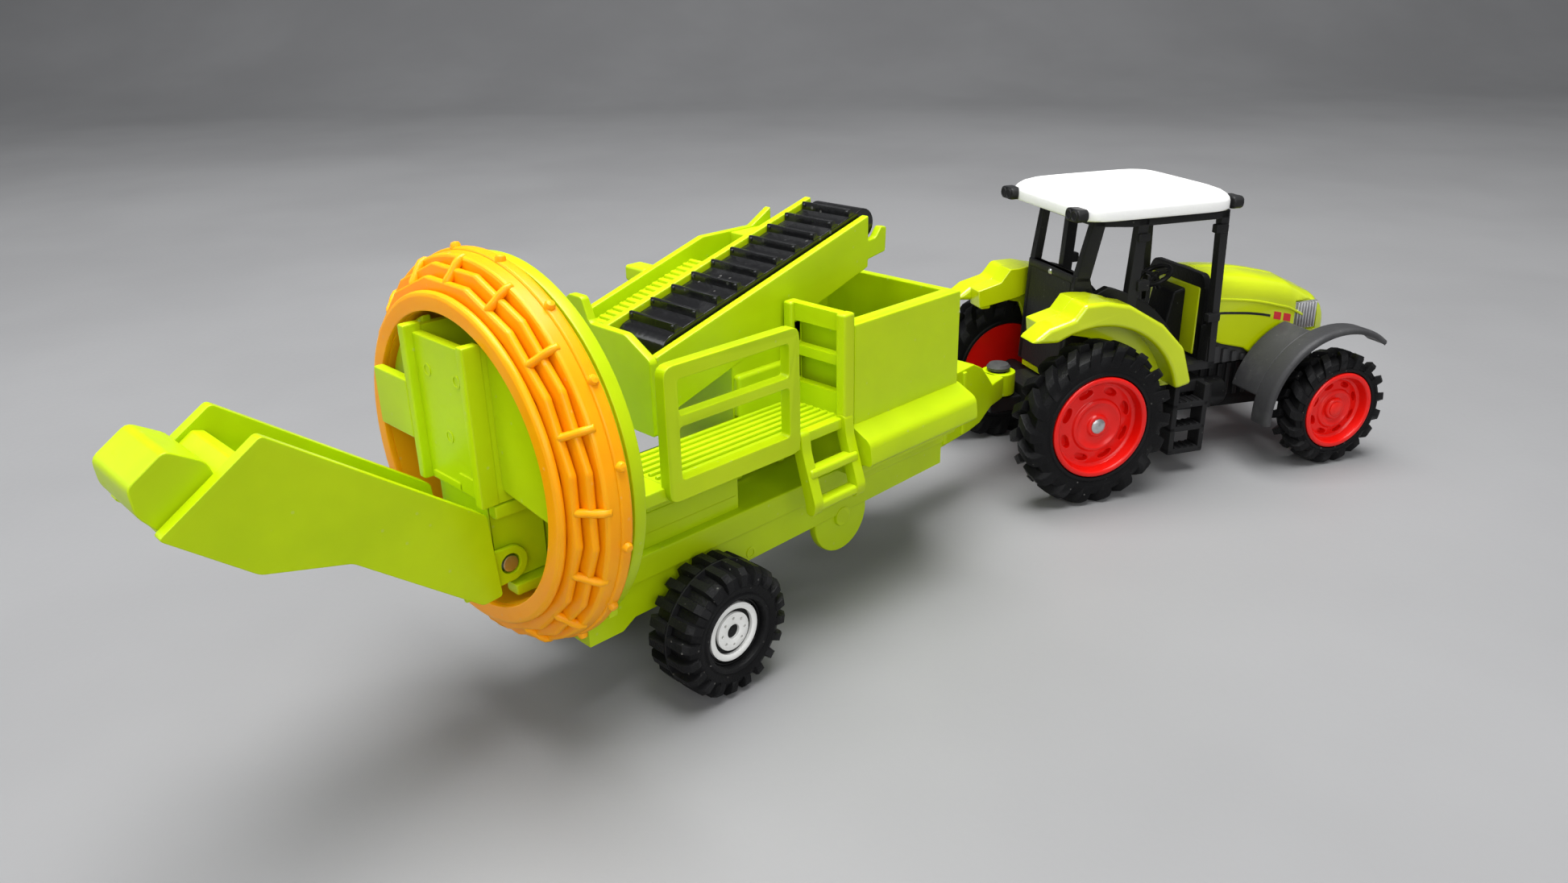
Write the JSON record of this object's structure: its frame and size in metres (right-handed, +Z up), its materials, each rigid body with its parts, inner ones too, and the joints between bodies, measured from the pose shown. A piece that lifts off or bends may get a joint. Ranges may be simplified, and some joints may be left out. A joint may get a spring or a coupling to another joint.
{
  "type": "toy tractor",
  "caption": "Toy farm tractor with cab, hitched to a towed crop harvester with a turning ring, sloping conveyor, hopper, side platform and folding rear arm.",
  "frame": {"origin": "centre of the footprint, on the ground under the tyres", "axes": "+X forwards along the harvester towards the tractor, +Y to the harvester's left, +Z up; the tractor stands turned 27 degrees to the right at the hitch"},
  "size_m": [0.208, 0.0718, 0.0584],
  "materials": {
    "lime_plastic": "moulded, slightly translucent lime green",
    "orange_plastic": "moulded orange-yellow",
    "belt_black": "glossy black",
    "tyre_rubber": "soft black",
    "hub_white": "white with a printed black ring",
    "rim_red": "glossy red",
    "steel": "plain steel pin",
    "green_paint": "glossy yellow-green paint on a casting",
    "black_plastic": "satin black",
    "dark_grey_plastic": "satin dark grey",
    "roof_white": "white",
    "lamp_silver": "silver print"
  },
  "bodies": {
    "harvester": {"harvester_chassis": "lime_plastic", "hopper": "lime_plastic", "conveyor_frame": "lime_plastic", "conveyor_belt": "belt_black", "side_platform": "lime_plastic", "backing_disc": "lime_plastic", "ring_carrier": "lime_plastic", "arm_pin": "steel"},
    "ring": {"lifting_ring": "orange_plastic"},
    "arm": {"rear_arm": "lime_plastic"},
    "harvester_wheels": {"harvester_tyre_left": "tyre_rubber", "harvester_tyre_right": "tyre_rubber", "harvester_rim_left": "hub_white", "harvester_rim_right": "hub_white", "harvester_axle": "steel"},
    "tractor": {"tractor_chassis": "black_plastic", "tractor_casting": "green_paint", "cab_frame": "black_plastic", "roof": "roof_white", "seat": "black_plastic", "steering_wheel": "black_plastic", "hitch_pin": "dark_grey_plastic", "headlight_left": "lamp_silver", "headlight_right": "lamp_silver", "front_guard_left": "dark_grey_plastic", "front_guard_right": "dark_grey_plastic", "roof_lamp_rear_left": "black_plastic", "roof_lamp_rear_right": "black_plastic", "roof_lamp_front_left": "black_plastic", "roof_lamp_front_right": "black_plastic"},
    "rear_wheels": {"rear_tyre_left": "tyre_rubber", "rear_tyre_right": "tyre_rubber", "rear_rim_left": "rim_red", "rear_rim_right": "rim_red", "rear_axle": "steel"},
    "front_wheels": {"front_tyre_left": "tyre_rubber", "front_tyre_right": "tyre_rubber", "front_rim_left": "rim_red", "front_rim_right": "rim_red", "front_axle": "steel"}
  },
  "joints": [
    {"name": "ring_spin", "type": "hinge", "parent": "harvester", "child": "ring", "pos_m": [-0.06737, 0.01265, 0.0351], "axis": [1, 0, 0], "continuous": true},
    {"name": "arm_fold", "type": "hinge", "parent": "harvester", "child": "arm", "pos_m": [-0.06902, 0.01265, 0.02398], "axis": [0, 1, 0], "range_deg": [-25, 0]},
    {"name": "harvester_wheel_spin", "type": "hinge", "parent": "harvester", "child": "harvester_wheels", "pos_m": [-0.04542, 0.01265, 0.0088], "axis": [0, 1, 0], "continuous": true},
    {"name": "hitch_swivel", "type": "hinge", "parent": "harvester", "child": "tractor", "pos_m": [0.03398, 0.01265, 0.017], "axis": [0, 0, 1], "range_deg": [-18, 72]},
    {"name": "rear_wheel_spin", "type": "hinge", "parent": "tractor", "child": "rear_wheels", "pos_m": [0.04199, 0.00856, 0.014], "axis": [0.454, 0.891, 0], "continuous": true},
    {"name": "front_wheel_spin", "type": "hinge", "parent": "tractor", "child": "front_wheels", "pos_m": [0.08592, -0.01382, 0.01035], "axis": [0.454, 0.891, 0], "continuous": true}
  ]
}
